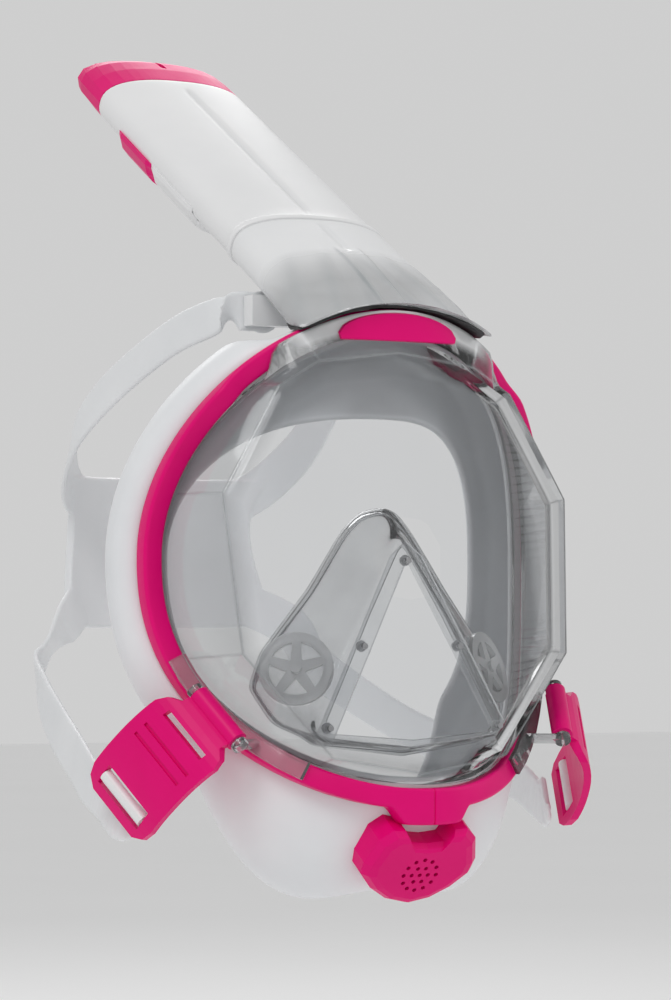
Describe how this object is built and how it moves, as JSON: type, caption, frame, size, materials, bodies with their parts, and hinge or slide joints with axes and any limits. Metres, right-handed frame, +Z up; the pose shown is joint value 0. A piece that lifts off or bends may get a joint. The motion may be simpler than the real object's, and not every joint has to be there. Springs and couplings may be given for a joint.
{
  "type": "full face snorkel mask",
  "caption": "Full face snorkel mask with a clear lens, nose pocket, chin purge valve, head harness and a dry-top snorkel.",
  "frame": {"origin": "centre of the opening that the wearer's face goes into, at the height of the middle of the lens frame", "axes": "+Y points back toward the wearer's head, -Y is the way the wearer looks, +Z is up, +X is the wearer's left; the mask is mirror symmetric about X = 0"},
  "size_m": [0.217, 0.2486, 0.355],
  "materials": {
    "clear_plastic": "clear polished polycarbonate",
    "pink_plastic": "satin hot pink plastic",
    "white_silicone": "soft matt white silicone",
    "frosted_silicone": "frosted white silicone",
    "clear_silicone": "clear silicone",
    "frosted_plastic": "milky translucent plastic",
    "white_plastic": "satin white plastic",
    "black_rubber": "black sealing rubber",
    "steel": "stainless"
  },
  "bodies": {
    "mask": {"badge": "pink_plastic", "clip_pin_left_lower": "steel", "clip_pin_left_upper": "steel", "clip_pin_middle": "steel", "clip_pin_right_lower": "steel", "clip_pin_right_upper": "steel", "ear_left": "clear_plastic", "ear_right": "clear_plastic", "harness": "frosted_silicone", "inhale_seat_left": "white_plastic", "inhale_seat_right": "white_plastic", "lens": "clear_plastic", "lens_frame": "pink_plastic", "neck": "frosted_plastic", "neck_gasket": "black_rubber", "nose_pocket": "clear_silicone", "pocket_clip": "clear_plastic", "purge_cover": "pink_plastic", "purge_seat": "white_plastic", "skirt": "white_silicone", "strap_anchor": "frosted_plastic"},
    "snorkel": {"snorkel_tube": "white_plastic", "tube_seal": "black_rubber", "channel_divider": "white_plastic", "vent_cover": "white_plastic", "vent_hood": "pink_plastic", "float_seat": "white_plastic", "top_cap": "pink_plastic"},
    "float": {"float": "white_plastic", "float_seal": "black_rubber"},
    "inhale_membrane_left": {"inhale_membrane_left": "clear_silicone"},
    "inhale_membrane_right": {"inhale_membrane_right": "clear_silicone"},
    "purge_membrane": {"purge_membrane": "clear_silicone"},
    "buckle_left": {"buckle_left": "pink_plastic"},
    "buckle_right": {"buckle_right": "pink_plastic"},
    "roller_left": {"buckle_roller_left": "white_plastic"},
    "roller_right": {"buckle_roller_right": "white_plastic"}
  },
  "joints": [
    {"name": "snorkel_slide", "type": "slide", "parent": "mask", "child": "snorkel", "axis": [0, 0.8572, 0.515], "range_m": [0, 0.03]},
    {"name": "float_rise", "type": "slide", "parent": "snorkel", "child": "float", "axis": [0, 0.8572, 0.515], "range_m": [0, 0.0095]},
    {"name": "inhale_left_lift", "type": "slide", "parent": "mask", "child": "inhale_membrane_left", "axis": [0.5455, 0.7791, -0.309], "range_m": [0, 0.0015], "stiffness_N_per_m": 20, "springref_m": -0.0004},
    {"name": "inhale_right_lift", "type": "slide", "parent": "mask", "child": "inhale_membrane_right", "axis": [-0.5455, 0.7791, -0.309], "range_m": [0, 0.0015], "stiffness_N_per_m": 20, "springref_m": -0.0004},
    {"name": "purge_lift", "type": "slide", "parent": "mask", "child": "purge_membrane", "axis": [0, -0.8231, -0.5678], "range_m": [0, 0.0015], "stiffness_N_per_m": 20, "springref_m": -0.0004},
    {"name": "buckle_left_swing", "type": "hinge", "parent": "mask", "child": "buckle_left", "pos_m": [-0.077, -0.0355, -0.061], "axis": [-0.2997, 0.6594, 0.6894], "range_deg": [0, 35]},
    {"name": "buckle_right_swing", "type": "hinge", "parent": "mask", "child": "buckle_right", "pos_m": [0.077, -0.0355, -0.061], "axis": [-0.2997, -0.6594, -0.6894], "range_deg": [0, 35]},
    {"name": "roller_left_spin", "type": "hinge", "parent": "buckle_left", "child": "roller_left", "pos_m": [-0.10142, -0.0061, -0.09165], "axis": [-0.2997, 0.6594, 0.6894], "continuous": true},
    {"name": "roller_right_spin", "type": "hinge", "parent": "buckle_right", "child": "roller_right", "pos_m": [0.10142, -0.0061, -0.09165], "axis": [-0.2997, -0.6594, -0.6894], "continuous": true}
  ]
}
